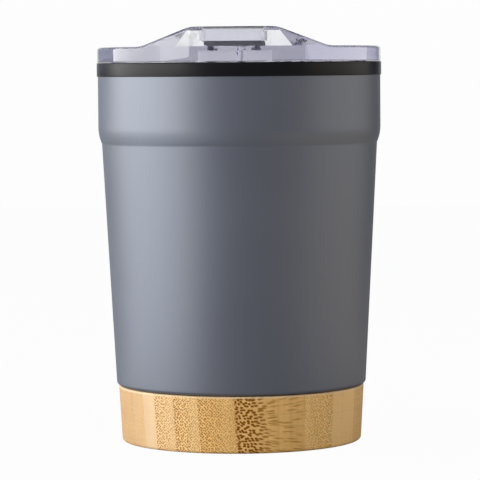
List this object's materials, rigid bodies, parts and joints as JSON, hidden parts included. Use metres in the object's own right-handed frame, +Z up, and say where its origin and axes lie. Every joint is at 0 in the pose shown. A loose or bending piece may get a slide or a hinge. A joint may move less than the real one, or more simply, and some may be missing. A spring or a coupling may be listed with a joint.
{
  "type": "travel mug",
  "caption": "Double-walled steel travel mug with a tapered grey painted body, black rim collar, bamboo base and clear press-in lid with a sliding tab over its drink hole.",
  "frame": {"origin": "centre of the bamboo base's underside, on the plane that the mug stands on", "axes": "+Z up along the mug axis; -Y is the drinking side of the lid, and the slider tab opens towards +Y"},
  "size_m": [0.085, 0.085, 0.1234],
  "materials": {
    "bamboo": "turned and sealed laminated bamboo, satin",
    "adhesive": "cured adhesive",
    "grey_paint": "satin slate grey paint on steel",
    "steel": "satin stainless steel",
    "black_plastic": "satin black moulded plastic",
    "clear_plastic": "clear glossy moulded plastic",
    "pale_silicone": "translucent white silicone",
    "dark_silicone": "dark grey silicone"
  },
  "bodies": {
    "mug": {"bamboo_base": "bamboo", "base_bond": "adhesive", "outer_shell": "grey_paint", "shell_cap": "steel", "inner_cup": "steel", "rim_collar": "black_plastic"},
    "lid": {"lid_body": "clear_plastic", "lid_seal": "pale_silicone"},
    "slider": {"lid_slider": "clear_plastic", "slider_gasket": "dark_silicone"}
  },
  "joints": [
    {"name": "lid_lift", "type": "slide", "parent": "mug", "child": "lid", "axis": [0, 0, 1], "range_m": [0, 0.04]},
    {"name": "slider_slide", "type": "slide", "parent": "lid", "child": "slider", "axis": [0, 1, 0], "range_m": [0, 0.016]}
  ]
}
